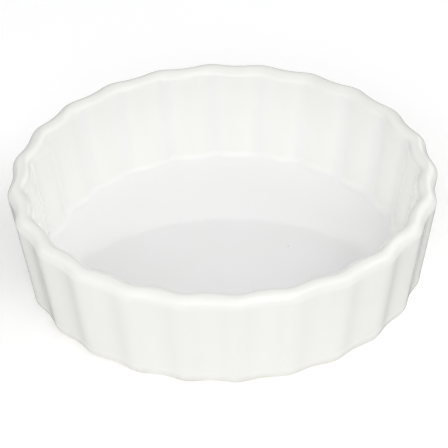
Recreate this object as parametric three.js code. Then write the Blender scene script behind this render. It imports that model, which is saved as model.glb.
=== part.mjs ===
// Round fluted baking dish in glazed porcelain, in millimetres.
// +Z is up. The dish stands on z = 0, centred on the Z axis, with a flute crest on +X.
// It is one fired clay body under two coats of glaze: one over the inside, the rim and the outside,
// and one under the floor. A bare foot ring parts the two coats.

import * as THREE from 'three';
import { mergeGeometries, mergeVertices } from 'three/addons/utils/BufferGeometryUtils.js';

// Driving sizes of the finished, glazed dish
const rimDiameter = 120; // over the flute crests, at the widest point of the rim
const baseDiameter = 110; // over the flute crests, where the line of the wall meets the table
const height = 30.8;
const wallThickness = 5.6;
const floorThickness = 3.2;
const lipShoulderRadius = 2.8; // round on the outer shoulder of the rim
const shoulderShare = 0.7; // most of the wall's thickness that this round may take
const coveRadius = 2.5; // round between the floor and the inner wall

// Flutes, the same on both faces of the wall
const fluteCount = 24;
const fluteDepth = 1.1; // from crest to valley
const crestSharpness = 0.08; // above 0, crests are narrower than valleys

// Foot and underside
const recessDepth = 0.8; // the glazed underside stands this far above the table
const footRingWidth = 4; // flat bare ring that the dish stands on
const footEdgeRadius = 0.8; // round on the outer edge of the foot
const footInnerSlope = 0.9; // run of the sloping inner side of the foot

// Glaze
const glazeThickness = 0.35;
const bareBand = 0.5; // bare clay between the foot's round edge and the outer glaze
const bareMargin = 0.7; // bare clay between the foot's inner side and the base glaze

// Fineness of the mesh
const stepsPerFlute = 4;
const shoulderLowerSteps = 1; // below the widest point of the rim
const shoulderUpperSteps = 4; // above it
const innerLipSteps = 3;
const coveSteps = 4;
const footEdgeSteps = 2;
const weldTolerance = 1e-4;
const pointGrid = 1e-5; // points lie on this grid, so that faces that two pieces share match exactly

// Colours as they show in the photograph
const glazeColour = 0xf0f0ec;
const clayColour = 0xe4ddd0;
const glazeRoughness = 0.12;
const clayRoughness = 0.8;

// Mean radii, halfway between the flutes' crests and valleys
const fluteAmplitude = fluteDepth / 2;
const crestRise = fluteAmplitude * (1 + crestSharpness);
const rimRadius = rimDiameter / 2 - crestRise;
const baseRadius = baseDiameter / 2 - crestRise;

// The outer face of the wall runs from the base up to the shoulder's circle and touches it.
// The wall's lean is measured from upright.
const shoulderRadius = Math.min(lipShoulderRadius, shoulderShare * wallThickness);
const shoulderCentre = new THREE.Vector2(rimRadius - shoulderRadius, height - shoulderRadius);
const baseToShoulder = new THREE.Vector2(shoulderCentre.x - baseRadius, shoulderCentre.y);
const leanToCentre = Math.atan2(baseToShoulder.x, baseToShoulder.y);
const lean = leanToCentre + Math.asin(shoulderRadius / baseToShoulder.length());
const outward = new THREE.Vector2(Math.cos(lean), -Math.sin(lean)); // square to the wall
const outerFace = baseRadius * outward.x; // distance of the outer face from the origin along outward
const innerFace = outerFace - wallThickness;

// The rim's inner round takes up what the shoulder leaves of the wall, and meets it at the top.
const innerLipRadius = (wallThickness - shoulderRadius * (1 - outward.y)) / (1 + outward.y);
const innerLipCentre = new THREE.Vector2(shoulderCentre.x, height - innerLipRadius);

const floorHeight = recessDepth + floorThickness;
const coveCentre = pointAtDistance(innerFace - coveRadius, floorHeight + coveRadius);

const footEdgeCentre = pointAtDistance(outerFace - glazeThickness - footEdgeRadius, footEdgeRadius);
const footInnerRadius = footEdgeCentre.x - footRingWidth;
const recessRadius = footInnerRadius - footInnerSlope;
const clayUnderside = recessDepth + glazeThickness;
const glazeEndHeight = footEdgeRadius + bareBand;

const facingDown = -Math.PI / 2;
const facingUp = Math.PI / 2;
const facingLevel = 0;
const facingOut = -lean;
const facingIn = Math.PI - lean;

// The point at a given height whose distance from the origin, square to the wall, is given
function pointAtDistance(distance, z) {
  return new THREE.Vector2((distance - z * outward.y) / outward.x, z);
}

// How far the flutes carry a point out from its mean radius
function fluteRise(angle) {
  const turn = fluteCount * angle;
  return fluteAmplitude * (Math.cos(turn) + crestSharpness * Math.cos(2 * turn));
}

// A profile is a list of points: radius, height and the share of the flutes that the point follows
function profilePoint(radius, z, share) {
  return { radius, z, share };
}

function arc(centre, radius, from, to, steps) {
  const points = [];
  for (let step = 0; step <= steps; step += 1) {
    const angle = from + (to - from) * step / steps;
    points.push(profilePoint(centre.x + radius * Math.cos(angle), centre.y + radius * Math.sin(angle), 1));
  }
  return points;
}

// The glazed face from the outer glaze's edge up the wall, over the rim and down to the middle of the
// floor, set back into the dish by inset
function skinProfile(inset) {
  const glazeEdge = pointAtDistance(outerFace, glazeEndHeight).addScaledVector(outward, -inset);
  const shoulder = shoulderRadius - inset;
  const lowerShoulder = arc(shoulderCentre, shoulder, facingOut, facingLevel, shoulderLowerSteps);
  const upperShoulder = arc(shoulderCentre, shoulder, facingLevel, facingUp, shoulderUpperSteps);
  const innerLip = arc(innerLipCentre, innerLipRadius - inset, facingUp, facingIn, innerLipSteps);
  const cove = arc(coveCentre, coveRadius + inset, facingOut, facingDown, coveSteps);
  return [
    profilePoint(glazeEdge.x, glazeEdge.y, 1),
    ...lowerShoulder,
    ...upperShoulder.slice(1),
    ...innerLip.slice(1),
    ...cove,
    profilePoint(0, floorHeight - inset, 0),
  ];
}

// The bare foot from the middle of the underside out to its round outer edge
function footProfile() {
  return [
    profilePoint(0, clayUnderside, 0),
    profilePoint(recessRadius, clayUnderside, 0),
    profilePoint(footInnerRadius, 0, 0),
    ...arc(footEdgeCentre, footEdgeRadius, facingDown, facingOut, footEdgeSteps),
  ];
}

function baseGlazeProfile() {
  const edge = recessRadius - bareMargin;
  return [
    profilePoint(0, recessDepth, 0),
    profilePoint(edge - glazeThickness, recessDepth, 0),
    profilePoint(edge, clayUnderside, 0),
    profilePoint(0, clayUnderside, 0),
  ];
}

function onGrid(value) {
  return Math.round(value / pointGrid) * pointGrid;
}

// Turns a profile about the Z axis and moves each point by its share of the flutes
function fluted(profile) {
  const outline = profile.map((point) => new THREE.Vector2(point.radius, point.z));
  const geometry = new THREE.LatheGeometry(outline, fluteCount * stepsPerFlute);
  geometry.deleteAttribute('normal');
  geometry.deleteAttribute('uv');
  geometry.rotateX(Math.PI / 2);
  const position = geometry.attributes.position;
  for (let i = 0; i < position.count; i += 1) {
    const angle = Math.atan2(position.getY(i), position.getX(i));
    const rise = profile[i % profile.length].share * fluteRise(angle);
    const x = onGrid(position.getX(i) + rise * Math.cos(angle));
    const y = onGrid(position.getY(i) + rise * Math.sin(angle));
    position.setXYZ(i, x, y, onGrid(position.getZ(i)));
  }
  return geometry;
}

// The same surface seen from its other side
function turnedOver(geometry) {
  const corners = Array.from(geometry.index.array);
  geometry.setIndex(corners.reverse());
  return geometry;
}

// Joins surfaces that share their edges into one closed body, without the slivers left on the axis
function weld(surfaces) {
  const welded = mergeVertices(mergeGeometries(surfaces), weldTolerance);
  const corners = welded.index.array;
  const kept = [];
  for (let i = 0; i < corners.length; i += 3) {
    const [a, b, c] = corners.slice(i, i + 3);
    if (a !== b && b !== c && c !== a) {
      kept.push(a, b, c);
    }
  }
  welded.setIndex(kept);
  welded.computeVertexNormals();
  return welded;
}

function bareClay() {
  return new THREE.MeshStandardMaterial({ color: clayColour, roughness: clayRoughness, metalness: 0 });
}

function whiteGlaze() {
  return new THREE.MeshStandardMaterial({ color: glazeColour, roughness: glazeRoughness, metalness: 0 });
}

function porcelainBody() {
  const surface = fluted([...footProfile(), ...skinProfile(glazeThickness)]);
  return namedMesh('porcelain_body', weld([surface]), bareClay());
}

// The coat's outer face, the face it shares with the clay, and its narrow lower edge
function glazeCoat() {
  const face = skinProfile(0);
  const clayFace = skinProfile(glazeThickness);
  const surfaces = [fluted(face), turnedOver(fluted(clayFace)), fluted([clayFace[0], face[0]])];
  return namedMesh('glaze_coat', weld(surfaces), whiteGlaze());
}

function baseGlaze() {
  return namedMesh('base_glaze', weld([fluted(baseGlazeProfile())]), whiteGlaze());
}

function namedMesh(name, geometry, material) {
  const mesh = new THREE.Mesh(geometry, material);
  mesh.name = name;
  return mesh;
}

const dish = new THREE.Group();
dish.name = 'round_baking_dish';
dish.add(porcelainBody(), glazeCoat(), baseGlaze());

export default dish;
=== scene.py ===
import math

import bpy
import numpy as np
from mathutils import Matrix, Vector


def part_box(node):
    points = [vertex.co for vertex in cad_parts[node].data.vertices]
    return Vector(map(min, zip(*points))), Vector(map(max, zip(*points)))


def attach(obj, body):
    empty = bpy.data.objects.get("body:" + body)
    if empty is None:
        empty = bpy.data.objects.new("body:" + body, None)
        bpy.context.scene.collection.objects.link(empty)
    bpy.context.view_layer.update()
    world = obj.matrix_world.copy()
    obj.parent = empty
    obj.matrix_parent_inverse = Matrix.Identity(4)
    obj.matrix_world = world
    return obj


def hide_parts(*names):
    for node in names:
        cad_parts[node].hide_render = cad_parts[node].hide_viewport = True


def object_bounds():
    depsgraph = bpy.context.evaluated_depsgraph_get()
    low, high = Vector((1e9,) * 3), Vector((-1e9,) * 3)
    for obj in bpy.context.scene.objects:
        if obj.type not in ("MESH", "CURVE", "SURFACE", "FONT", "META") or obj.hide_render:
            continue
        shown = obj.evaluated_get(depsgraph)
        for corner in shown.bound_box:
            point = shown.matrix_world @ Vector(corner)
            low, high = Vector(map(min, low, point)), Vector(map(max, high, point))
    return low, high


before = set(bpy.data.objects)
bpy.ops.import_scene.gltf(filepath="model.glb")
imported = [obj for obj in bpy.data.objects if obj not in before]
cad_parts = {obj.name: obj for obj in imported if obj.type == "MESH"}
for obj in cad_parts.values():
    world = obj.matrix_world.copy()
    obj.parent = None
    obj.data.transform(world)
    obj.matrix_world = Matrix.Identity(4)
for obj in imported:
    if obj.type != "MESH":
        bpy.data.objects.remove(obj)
cad_low, cad_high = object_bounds()

MM = 0.001  # lengths below are in metres

# Sizes read from the frame
HEIGHT = cad_high.z
CREST_RADIUS = cad_high.x
GLAZE_END_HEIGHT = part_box("glaze_coat")[0].z
RECESS_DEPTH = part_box("base_glaze")[0].z
CLAY_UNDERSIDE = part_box("base_glaze")[1].z
BASE_GLAZE_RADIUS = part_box("base_glaze")[1].x
GLAZE_THICKNESS = CLAY_UNDERSIDE - RECESS_DEPTH

# Sizes that the frame's boxes don't show, as in the part's source
BASE_CREST_RADIUS = 55 * MM
WALL_THICKNESS = 5.6 * MM
FLOOR_THICKNESS = 3.2 * MM
SHOULDER_RADIUS = 2.8 * MM
COVE_RADIUS = 2.5 * MM
FLUTE_COUNT = 24
FLUTE_DEPTH = 1.1 * MM
CREST_SHARPNESS = 0.08
FOOT_RING_WIDTH = 4 * MM
FOOT_EDGE_RADIUS = 0.8 * MM
FOOT_INNER_SLOPE = 0.9 * MM

# Small forms that only this model has
GLAZE_ROLL_HEIGHT = 2.2 * MM  # the roll that glaze gathers into above its lower edge
GLAZE_ROLL_SWELL = 0.08 * MM
FOOT_CORNER_ROUND = 0.35 * MM
FLOOR_SAG = 0.1 * MM
RIM_REACH = 1.6 * MM  # how far down from the top the rim's tone reaches: thin glaze there, and painted shade on the rim's top

# Unevenness left by pressing and firing. It only takes away, so the dish stays in the CAD box.
FLUTE_UNEVENNESS = 0.06  # share of a flute's depth
FLUTE_WANDER = math.radians(0.25)
WALL_WARP = 0.12 * MM
RIM_DIP = 0.14 * MM
WARP_GROWTH = 2  # the warp grows up the wall with this power of the height
DIP_GROWTH = 8
DEPTH_WAVES = (1, 3, 4, 7)  # waves round the dish
WANDER_WAVES = (2, 5, 9)
WARP_WAVES = (2, 3)
DIP_WAVES = (1, 2, 5)
DEPTH_SEED = 3
WANDER_SEED = 8
WARP_SEED = 5
DIP_SEED = 12

# Mean radii, halfway between crests and valleys, and the lean of the wall from upright
FLUTE_AMPLITUDE = FLUTE_DEPTH / 2
CREST_RISE = FLUTE_AMPLITUDE * (1 + CREST_SHARPNESS)
RIM_RADIUS = CREST_RADIUS - CREST_RISE
BASE_RADIUS = BASE_CREST_RADIUS - CREST_RISE
SHOULDER_CENTRE = np.array([RIM_RADIUS - SHOULDER_RADIUS, HEIGHT - SHOULDER_RADIUS])
BASE_TO_SHOULDER = SHOULDER_CENTRE - np.array([BASE_RADIUS, 0])
LEAN = math.atan2(*BASE_TO_SHOULDER) + math.asin(SHOULDER_RADIUS / np.linalg.norm(BASE_TO_SHOULDER))
OUTWARD = np.array([math.cos(LEAN), -math.sin(LEAN)])
DOWN_WALL = np.array([-math.sin(LEAN), -math.cos(LEAN)])
OUTER_FACE = BASE_RADIUS * OUTWARD[0]
INNER_FACE = OUTER_FACE - WALL_THICKNESS
INNER_LIP_RADIUS = (WALL_THICKNESS - SHOULDER_RADIUS * (1 - OUTWARD[1])) / (1 + OUTWARD[1])
INNER_LIP_CENTRE = np.array([SHOULDER_CENTRE[0], HEIGHT - INNER_LIP_RADIUS])
FLOOR_HEIGHT = RECESS_DEPTH + FLOOR_THICKNESS
FLAT_FLOOR_RADIUS = BASE_RADIUS - WALL_THICKNESS - COVE_RADIUS
GLAZE_BEAD_RADIUS = GLAZE_THICKNESS / 2

# Directions in the section of the wall
FACING_DOWN = -math.pi / 2
FACING_UP = math.pi / 2
FACING_LEVEL = 0
FACING_OUT = -LEAN
FACING_IN = math.pi - LEAN

# Fineness of the meshes. Faces that lie hidden between clay and glaze have fewer steps.
COLUMNS = FLUTE_COUNT * 20
HIDDEN_STEPS = 4
WALL_STEPS = 12
ROLL_STEPS = 8
ROUND_STEPS = 12
FLOOR_STEPS = 16
BEAD_STEPS = 8
CORNER_STEPS = 4

# The camera that the photograph was taken from, with the dish turned as it stands there
CAMERA_LENS_MM = 306.3
SENSOR_WIDTH_MM = 36
CAMERA_DISTANCE = 1.0679
CAMERA_ELEVATION = math.radians(34.87)
CAMERA_AZIMUTH = math.radians(-93.1)
CAMERA_ROLL = math.radians(1.35)
AIM_HEIGHT = 14.5 * MM

# Glaze. Its colours go from the rim to the floor: partly its own tint, warm where it lies thin on the rim
# and cool where it lies thick on the floor, and partly painted light and shade, lighter on the inner wall
# and darker on the rim and the floor.
RIM_TONE = (0.9, 0.9, 0.866)
OUTER_TONE = (0.882, 0.886, 0.857)
INNER_TONE = (0.932, 0.936, 0.912)
FLOOR_TONE = (0.892, 0.893, 0.896)
WALL_TONE_LEVEL = 0.5  # on a scale from 0 on the rim to 1 on the floor
INNER_PAINTED_LIGHT_SHIFT = 0.2  # painted light: the level is this much higher on the inner wall, so its tone is lighter, and as much lower on the outer wall
FLUTE_SHIFT_SHARE = 0.5  # how much of the shift comes and goes with the flutes
FLOOR_TONE_LEVEL = 1 - WALL_TONE_LEVEL
CLOUD_SCALE = 45
CLOUD_TONE = (0.985, 0.985, 0.98)
SPECK_SCALE = 220
SPECK_SIZE = 0.08
SPECK_SHARE = 0.006
SPECK_TONE = (0.74, 0.7, 0.64)
GLOSS_SCALE = 70
GLOSS_ROUGHNESS = (0.05, 0.08)
SWELL_SCALE = 60
SWELL_DEPTH = 0.03 * MM
PEEL_SCALE = 500
PEEL_DEPTH = 0.004 * MM
GLAZE_IOR = 1.52

# Bare clay
CLAY_TONE_SCALE = 160
CLAY_DARK_TONE = (0.79, 0.775, 0.735)
CLAY_LIGHT_TONE = (0.86, 0.848, 0.815)
CLAY_SPECK_SCALE = 900
CLAY_SPECK_SIZE = 0.2
CLAY_SPECK_SHARE = 0.12
CLAY_SPECK_TONE = (0.72, 0.68, 0.62)
CLAY_ROUGHNESS_SCALE = 400
CLAY_ROUGHNESS = (0.7, 0.88)
GRAIN_SCALE = 2500
GRAIN_DEPTH = 0.04 * MM

# Nearly all values of a noise texture lie between these
NOISE_LOW = 0.3
NOISE_HIGH = 0.7
WHITE = (1, 1, 1)

# Studio

TABLE_HALF = 2.0
TABLE_GREY = 0.98
TABLE_ROUGHNESS = 0.9
TABLE_GLOW = 0.1
WORLD_ABOVE = 0.05
WORLD_BELOW = 0.3  # stands in for the table in the glaze's reflections
HORIZON_BLEND = 0.02
LIGHT_BOUNCES = 10  # white inside white needs many

# Soft lights: name, azimuth and elevation in degrees, distance, width, height and power in watts.
# Azimuth is seen from above and counted from the camera's side.
SOFTBOXES = [
    ("front_softbox", 0, 32, 1.6, 1.8, 0.8, 9.9),
    ("overhead_softbox", 0, 88, 1.4, 1.2, 1.2, 1.3),
    ("overhead_strip", 0, 68, 1.2, 0.9, 0.06, 1.5),
    ("upper_right_softbox", 50, 55, 1.6, 1.1, 1.0, 5.8),
    ("upper_left_softbox", -50, 55, 1.6, 1.1, 1.0, 1.6),
    ("lower_left_softbox", -50, 24, 1.6, 1.1, 1.0, 3.5),
    ("right_softbox", 95, 35, 1.6, 1.2, 1.1, 6.1),
    ("left_softbox", -95, 35, 1.6, 1.2, 1.1, 4.3),
    ("back_right_softbox", 140, 30, 1.6, 1.1, 1.0, 5.3),
    ("back_left_softbox", -140, 30, 1.6, 1.1, 1.0, 2.9),
]


# Sections. A section is rows of radius, height and the share of the flutes that the row follows.

def point_at_distance(distance, z):
    """The point at height z whose distance from the origin, square to the wall, is given."""
    return np.array([(distance - z * OUTWARD[1]) / OUTWARD[0], z])


def row(point, share):
    return np.array([[point[0], point[1], share]])


def line(start, end, steps):
    """Rows from start to end, without the end."""
    part = np.linspace(0, 1, steps, endpoint=False)[:, None]
    return start + (end - start) * part


def arc(centre, radius, begin, end, steps, share=1):
    """Rows on an arc, with both of its ends."""
    angles = np.linspace(begin, end, steps + 1)
    return np.column_stack([centre[0] + radius * np.cos(angles), centre[1] + radius * np.sin(angles),
                            np.full(steps + 1, share)])


def eased_corner(before, corner, after, reach):
    """Rows that round off a corner, from reach before it to reach after it."""
    start = corner + (before - corner) * reach / np.linalg.norm(before - corner)
    end = corner + (after - corner) * reach / np.linalg.norm(after - corner)
    part = np.linspace(0, 1, CORNER_STEPS + 1)[:, None]
    return (1 - part) ** 2 * start + 2 * part * (1 - part) * corner + part ** 2 * end


def skin_section(inset, wall_steps, round_steps, floor_steps):
    """The glazed face from the outer glaze's edge up, over the rim and in to the middle of the floor."""
    edge_height = GLAZE_END_HEIGHT + GLAZE_BEAD_RADIUS * math.cos(LEAN)
    edge = row(point_at_distance(OUTER_FACE, edge_height) - inset * OUTWARD, 1)
    roll_top = edge - GLAZE_ROLL_HEIGHT * np.append(DOWN_WALL, 0)
    roll = line(edge, roll_top, ROLL_STEPS)
    if inset == 0:
        swell = GLAZE_ROLL_SWELL * np.sin(np.linspace(0, math.pi, ROLL_STEPS, endpoint=False)) ** 2
        roll[:, :2] += swell[:, None] * OUTWARD
    shoulder = arc(SHOULDER_CENTRE, SHOULDER_RADIUS - inset, FACING_OUT, FACING_LEVEL, CORNER_STEPS)
    upper_shoulder = arc(SHOULDER_CENTRE, SHOULDER_RADIUS - inset, FACING_LEVEL, FACING_UP, round_steps)
    inner_lip = arc(INNER_LIP_CENTRE, INNER_LIP_RADIUS - inset, FACING_UP, FACING_IN, round_steps)
    cove_centre = point_at_distance(INNER_FACE - COVE_RADIUS, FLOOR_HEIGHT + COVE_RADIUS)
    cove = arc(cove_centre, COVE_RADIUS + inset, FACING_OUT, FACING_DOWN, round_steps)
    middle = row((0, FLOOR_HEIGHT - inset), 0)
    return np.vstack([
        roll,
        line(roll_top, shoulder[:1], wall_steps),
        shoulder[:-1],
        upper_shoulder[:-1],
        inner_lip[:-1],
        line(inner_lip[-1:], cove[:1], wall_steps),
        cove[:-1],
        line(cove[-1:], middle, floor_steps),
        middle,
    ])


def glaze_bead_section():
    """The rounded lower edge of the outer glaze, from the clay round to its outer face."""
    edge_height = GLAZE_END_HEIGHT + GLAZE_BEAD_RADIUS * math.cos(LEAN)
    centre = point_at_distance(OUTER_FACE, edge_height) - GLAZE_BEAD_RADIUS * OUTWARD
    turns = np.linspace(0, math.pi, BEAD_STEPS + 1)[1:-1, None]
    points = centre + GLAZE_BEAD_RADIUS * (np.sin(turns) * DOWN_WALL - np.cos(turns) * OUTWARD)
    return np.column_stack([points, np.ones(len(points))])


def foot_section():
    """The bare clay from the middle of the underside out to the round outer edge of the foot."""
    edge_centre = point_at_distance(OUTER_FACE - GLAZE_THICKNESS - FOOT_EDGE_RADIUS, FOOT_EDGE_RADIUS)
    inner_radius = edge_centre[0] - FOOT_RING_WIDTH
    middle = row((0, CLAY_UNDERSIDE), 0)
    recess_corner = row((inner_radius - FOOT_INNER_SLOPE, CLAY_UNDERSIDE), 0)
    ring_corner = row((inner_radius, 0), 0)
    outer_edge = arc(edge_centre, FOOT_EDGE_RADIUS, FACING_DOWN, FACING_OUT, ROUND_STEPS)
    recess_round = eased_corner(middle, recess_corner, ring_corner, FOOT_CORNER_ROUND)
    ring_round = eased_corner(recess_corner, ring_corner, row((edge_centre[0], 0), 0), FOOT_CORNER_ROUND)
    return np.vstack([
        line(middle, recess_round[:1], HIDDEN_STEPS),
        recess_round,
        ring_round,
        line(ring_round[-1:], outer_edge[:1], HIDDEN_STEPS)[1:],
        outer_edge,
    ])


def base_glaze_section():
    """The pool of glaze under the floor, from its lower middle out and back to its upper middle."""
    edge_centre = np.array([BASE_GLAZE_RADIUS - GLAZE_THICKNESS, CLAY_UNDERSIDE])
    edge = arc(edge_centre, GLAZE_THICKNESS, FACING_DOWN, FACING_LEVEL, BEAD_STEPS, share=0)
    return np.vstack([
        line(row((0, RECESS_DEPTH), 0), edge[:1], FLOOR_STEPS),
        edge,
        row((0, CLAY_UNDERSIDE), 0),
    ])


# Meshes

def wavy(angles, waves, seed):
    """A smooth closed curve round the dish, between 0 and 1, with the given numbers of waves per turn."""
    phases = np.random.default_rng(seed).uniform(0, 2 * math.pi, len(waves))
    total = sum(np.cos(count * angles + phase) for count, phase in zip(waves, phases))
    return 0.5 + 0.5 * total / len(waves)


def flute_rise(angles):
    """How far the flutes carry the wall out from its mean radius."""
    turn = FLUTE_COUNT * (angles + FLUTE_WANDER * (2 * wavy(angles, WANDER_WAVES, WANDER_SEED) - 1))
    depth = 1 - FLUTE_UNEVENNESS * wavy(angles, DEPTH_WAVES, DEPTH_SEED)
    return depth * FLUTE_AMPLITUDE * (np.cos(turn) + CREST_SHARPNESS * np.cos(2 * turn))


def floor_sag(radius, z):
    """How far the floor has sunk in firing: most in the middle, and not at all on the underside."""
    spread = np.clip(radius / FLAT_FLOOR_RADIUS, 0, 1)
    return np.where(z > FLOOR_HEIGHT / 2, FLOOR_SAG * (0.5 + 0.5 * np.cos(math.pi * spread)), 0)


def spun_piece(name, section):
    """A closed mesh: the section, which starts and ends on the axis, turned about Z, fluted and uneven."""
    angles = np.linspace(0, 2 * math.pi, COLUMNS, endpoint=False)
    radius, z, share = section[1:-1].T[:, :, None]
    warp = WALL_WARP * wavy(angles, WARP_WAVES, WARP_SEED) * (z / HEIGHT) ** WARP_GROWTH
    dip = RIM_DIP * wavy(angles, DIP_WAVES, DIP_SEED) * (z / HEIGHT) ** DIP_GROWTH
    reach = radius + share * (flute_rise(angles) - warp)
    level = z - dip - floor_sag(radius, z)
    rings = np.stack([reach * np.cos(angles), reach * np.sin(angles), level], axis=-1)
    poles = section[[0, -1]]
    pole_levels = poles[:, 1] - floor_sag(poles[:, 0], poles[:, 1])
    vertices = np.vstack([[[0, 0, pole_levels[0]]], rings.reshape(-1, 3), [[0, 0, pole_levels[1]]]])

    def corner(ring, column):
        return 1 + ring * COLUMNS + column % COLUMNS

    last_ring = len(rings) - 1
    faces = []
    for column in range(COLUMNS):
        faces.append((0, corner(0, column + 1), corner(0, column)))
        faces.append((len(vertices) - 1, corner(last_ring, column), corner(last_ring, column + 1)))
        for ring in range(last_ring):
            faces.append((corner(ring, column), corner(ring, column + 1),
                          corner(ring + 1, column + 1), corner(ring + 1, column)))
    mesh = bpy.data.meshes.new(name)
    mesh.from_pydata(vertices.tolist(), [], faces)
    mesh.shade_smooth()
    piece = bpy.data.objects.new(name, mesh)
    bpy.context.scene.collection.objects.link(piece)
    return piece


def mark_pooling_and_painted_light(piece):
    """Stores a level from 0 on the rim to 1 on the floor that picks the glaze's tone: partly how thick the
    glaze lies, partly painted light and shade.
    """
    mesh = piece.data
    count = len(mesh.vertices)
    places = np.empty(count * 3)
    normals = np.empty(count * 3)
    mesh.vertices.foreach_get("co", places)
    mesh.vertices.foreach_get("normal", normals)
    x, y, z = places.reshape(-1, 3).T
    normal_x, normal_y, normal_z = normals.reshape(-1, 3).T
    angles = np.arctan2(y, x)
    # Painted light: faces turned inwards get a higher level and so the inner wall's lighter tone.
    facing_in = -(normal_x * np.cos(angles) + normal_y * np.sin(angles))
    in_flutes = FLUTE_SHIFT_SHARE * flute_rise(angles) / CREST_RISE
    on_wall = WALL_TONE_LEVEL + INNER_PAINTED_LIGHT_SHIFT * facing_in * (1 + in_flutes)
    # Painted shade: the top of the rim and the up-facing floor get tones darker than the inner wall's; the
    # rim's tone is also the thin glaze's warmer tint.
    on_rim = np.clip((z - HEIGHT + RIM_REACH) / RIM_REACH, 0, 1)
    on_floor = np.where(z < HEIGHT / 2, np.abs(normal_z), 0) ** 2
    pooling_and_painted_light = mesh.attributes.new("pooling_and_painted_light", "FLOAT", "POINT")
    tone_level = (on_wall + FLOOR_TONE_LEVEL * on_floor) * (1 - on_rim)
    pooling_and_painted_light.data.foreach_set("value", np.clip(tone_level, 0, 1))


# Materials

def new_material(name):
    material = bpy.data.materials.new(name)
    material.use_nodes = True
    return material, material.node_tree.nodes["Principled BSDF"]


def add_node(material, kind, **settings):
    node = material.node_tree.nodes.new(kind)
    for name, value in settings.items():
        setattr(node, name, value)
    return node


def link(material, source, target):
    material.node_tree.links.new(source, target)


def noise(material, places, scale, detail):
    texture = add_node(material, "ShaderNodeTexNoise")
    texture.inputs["Scale"].default_value = scale
    texture.inputs["Detail"].default_value = detail
    link(material, places, texture.inputs["Vector"])
    return texture.outputs["Fac"]


def ramp(material, factor, stops):
    """Colours along a ramp, given as pairs of position and colour."""
    node = add_node(material, "ShaderNodeValToRGB")
    elements = node.color_ramp.elements
    while len(elements) < len(stops):
        elements.new(1)
    for element, (position, colour) in zip(elements, stops):
        element.position = position
        element.color = (*colour, 1)
    link(material, factor, node.inputs["Fac"])
    return node.outputs["Color"]


def multiplied(material, first, second):
    node = add_node(material, "ShaderNodeMix", data_type="RGBA", blend_type="MULTIPLY")
    node.inputs["Factor"].default_value = 1
    link(material, first, node.inputs["A"])
    link(material, second, node.inputs["B"])
    return node.outputs["Result"]


def spread(material, factor, low, high):
    """A texture's middle values spread between low and high."""
    node = add_node(material, "ShaderNodeMapRange")
    node.inputs["From Min"].default_value = NOISE_LOW
    node.inputs["From Max"].default_value = NOISE_HIGH
    node.inputs["To Min"].default_value = low
    node.inputs["To Max"].default_value = high
    link(material, factor, node.inputs["Value"])
    return node.outputs["Result"]


def bumped(material, height, depth, under=None):
    node = add_node(material, "ShaderNodeBump")
    node.inputs["Distance"].default_value = depth
    link(material, height, node.inputs["Height"])
    if under:
        link(material, under, node.inputs["Normal"])
    return node.outputs["Normal"]


def specks(material, places, scale, size, share, colour):
    """White with a few small specks, each in one cell of the scale."""
    cells = add_node(material, "ShaderNodeTexVoronoi")
    cells.inputs["Scale"].default_value = scale
    link(material, places, cells.inputs["Vector"])
    near = add_node(material, "ShaderNodeMath", operation="LESS_THAN")
    link(material, cells.outputs["Distance"], near.inputs[0])
    near.inputs[1].default_value = size
    chosen = add_node(material, "ShaderNodeMath", operation="LESS_THAN")
    split = add_node(material, "ShaderNodeSeparateColor")
    link(material, cells.outputs["Color"], split.inputs["Color"])
    link(material, split.outputs["Red"], chosen.inputs[0])
    chosen.inputs[1].default_value = share
    both = add_node(material, "ShaderNodeMath", operation="MULTIPLY")
    link(material, near.outputs["Value"], both.inputs[0])
    link(material, chosen.outputs["Value"], both.inputs[1])
    return ramp(material, both.outputs["Value"], [(0, WHITE), (1, colour)])


def white_glaze():
    """Clear glossy glaze over white clay: warm where thin, cool where thick, faintly uneven, and with
    painted light and shade in its tones.
    """
    material, shader = new_material("white_glaze")
    places = add_node(material, "ShaderNodeTexCoord").outputs["Object"]
    pooling_and_painted_light = add_node(material, "ShaderNodeAttribute", attribute_name="pooling_and_painted_light").outputs["Fac"]
    outer_wall = WALL_TONE_LEVEL - INNER_PAINTED_LIGHT_SHIFT
    inner_wall = WALL_TONE_LEVEL + INNER_PAINTED_LIGHT_SHIFT
    # Painted light and shade: the inner wall's tone is lighter, and the rim's and the floor's are darker,
    # on top of the glaze's warmer tint where thin.
    tones = [(0, RIM_TONE), (outer_wall, OUTER_TONE), (inner_wall, INNER_TONE), (1, FLOOR_TONE)]
    tone = ramp(material, pooling_and_painted_light, tones)
    clouds = noise(material, places, CLOUD_SCALE, 3)
    cloud = ramp(material, clouds, [(NOISE_LOW, CLOUD_TONE), (NOISE_HIGH, WHITE)])
    dots = specks(material, places, SPECK_SCALE, SPECK_SIZE, SPECK_SHARE, SPECK_TONE)
    colour = multiplied(material, multiplied(material, tone, cloud), dots)
    link(material, colour, shader.inputs["Base Color"])
    gloss = spread(material, noise(material, places, GLOSS_SCALE, 2), *GLOSS_ROUGHNESS)
    link(material, gloss, shader.inputs["Roughness"])
    swells = bumped(material, noise(material, places, SWELL_SCALE, 1), SWELL_DEPTH)
    peel = bumped(material, noise(material, places, PEEL_SCALE, 1), PEEL_DEPTH, swells)
    link(material, peel, shader.inputs["Normal"])
    shader.inputs["IOR"].default_value = GLAZE_IOR
    return material


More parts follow.
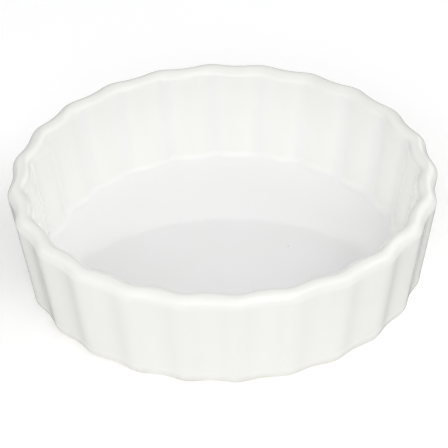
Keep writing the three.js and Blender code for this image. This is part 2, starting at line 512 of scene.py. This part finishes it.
def bare_clay():
    """Fired, unglazed porcelain: matt, warm, finely grained and a little grey from the kiln shelf."""
    material, shader = new_material("bare_clay")
    places = add_node(material, "ShaderNodeTexCoord").outputs["Object"]
    patches = noise(material, places, CLAY_TONE_SCALE, 5)
    tone = ramp(material, patches, [(NOISE_LOW, CLAY_DARK_TONE), (NOISE_HIGH, CLAY_LIGHT_TONE)])
    dots = specks(material, places, CLAY_SPECK_SCALE, CLAY_SPECK_SIZE, CLAY_SPECK_SHARE, CLAY_SPECK_TONE)
    link(material, multiplied(material, tone, dots), shader.inputs["Base Color"])
    matt = spread(material, noise(material, places, CLAY_ROUGHNESS_SCALE, 2), *CLAY_ROUGHNESS)
    link(material, matt, shader.inputs["Roughness"])
    grain = bumped(material, noise(material, places, GRAIN_SCALE, 3), GRAIN_DEPTH)
    link(material, grain, shader.inputs["Normal"])
    return material


# The dish

def dress(piece, node, material):
    piece.data.materials.append(material)
    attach(piece, "root")
    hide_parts(node)


def make_dish():
    glaze = white_glaze()
    outer_skin = skin_section(0, WALL_STEPS, ROUND_STEPS, FLOOR_STEPS)
    clay_skin = skin_section(GLAZE_THICKNESS, HIDDEN_STEPS, HIDDEN_STEPS, HIDDEN_STEPS)
    coat = spun_piece("glaze_over_dish", np.vstack([clay_skin[::-1], glaze_bead_section(), outer_skin]))
    # The stored level carries both the glaze's thickness and painted light and shade.
    mark_pooling_and_painted_light(coat)
    dress(coat, "glaze_coat", glaze)
    body = spun_piece("porcelain_clay", np.vstack([foot_section(), clay_skin]))
    dress(body, "porcelain_body", bare_clay())
    pool = spun_piece("glaze_under_base", base_glaze_section())
    mark_pooling_and_painted_light(pool)
    dress(pool, "base_glaze", glaze)


# Studio

def make_table():
    """A pale table that is a little bright by itself and doesn't show in the glaze's reflections."""
    corners = [(-TABLE_HALF, -TABLE_HALF, 0), (TABLE_HALF, -TABLE_HALF, 0),
               (TABLE_HALF, TABLE_HALF, 0), (-TABLE_HALF, TABLE_HALF, 0)]
    mesh = bpy.data.meshes.new("table")
    mesh.from_pydata(corners, [], [(0, 1, 2, 3)])
    table = bpy.data.objects.new("table", mesh)
    bpy.context.scene.collection.objects.link(table)
    material, shader = new_material("table")
    shader.inputs["Base Color"].default_value = (TABLE_GREY, TABLE_GREY, TABLE_GREY, 1)
    shader.inputs["Roughness"].default_value = TABLE_ROUGHNESS
    shader.inputs["Emission Color"].default_value = (*WHITE, 1)
    shader.inputs["Emission Strength"].default_value = TABLE_GLOW
    mesh.materials.append(material)
    table.visible_glossy = False


def softbox(name, azimuth, elevation, distance, width, tall, power):
    """A soft rectangular light that faces the dish."""
    light = bpy.data.lights.new(name, "AREA")
    light.shape = "RECTANGLE"
    light.size = width
    light.size_y = tall
    light.energy = power
    lamp = bpy.data.objects.new(name, light)
    bpy.context.scene.collection.objects.link(lamp)
    bearing = CAMERA_AZIMUTH + math.radians(azimuth)
    rise = math.radians(elevation)
    level = math.cos(rise)
    direction = Vector((math.cos(bearing) * level, math.sin(bearing) * level, math.sin(rise)))
    lamp.location = direction * distance
    lamp.rotation_euler = direction.to_track_quat("Z", "Y").to_euler()


def make_lights():
    for settings in SOFTBOXES:
        softbox(*settings)
    world = bpy.data.worlds.new("studio")
    world.use_nodes = True
    places = add_node(world, "ShaderNodeTexCoord").outputs["Generated"]
    height = add_node(world, "ShaderNodeSeparateXYZ")
    link(world, places, height.inputs["Vector"])
    below = (WORLD_BELOW, WORLD_BELOW, WORLD_BELOW)
    above = (WORLD_ABOVE, WORLD_ABOVE, WORLD_ABOVE)
    surround = ramp(world, height.outputs["Z"], [(0, below), (HORIZON_BLEND, above)])
    link(world, surround, world.node_tree.nodes["Background"].inputs["Color"])
    bpy.context.scene.world = world
    bpy.context.scene.cycles.diffuse_bounces = LIGHT_BOUNCES


def make_camera():
    aim = Vector((0, 0, AIM_HEIGHT))
    level = CAMERA_DISTANCE * math.cos(CAMERA_ELEVATION)
    away = Vector((level * math.cos(CAMERA_AZIMUTH), level * math.sin(CAMERA_AZIMUTH),
                   CAMERA_DISTANCE * math.sin(CAMERA_ELEVATION)))
    lens = bpy.data.cameras.new("camera")
    lens.lens = CAMERA_LENS_MM
    lens.sensor_width = SENSOR_WIDTH_MM
    camera = bpy.data.objects.new("camera", lens)
    bpy.context.scene.collection.objects.link(camera)
    turn = away.to_track_quat("Z", "Y").to_matrix().to_4x4()
    camera.matrix_world = Matrix.Translation(aim + away) @ turn @ Matrix.Rotation(-CAMERA_ROLL, 4, "Z")
    bpy.context.scene.camera = camera


make_dish()
make_table()
make_lights()
make_camera()
bpy.context.scene.view_settings.view_transform = "Standard"

bpy.context.view_layer.update()
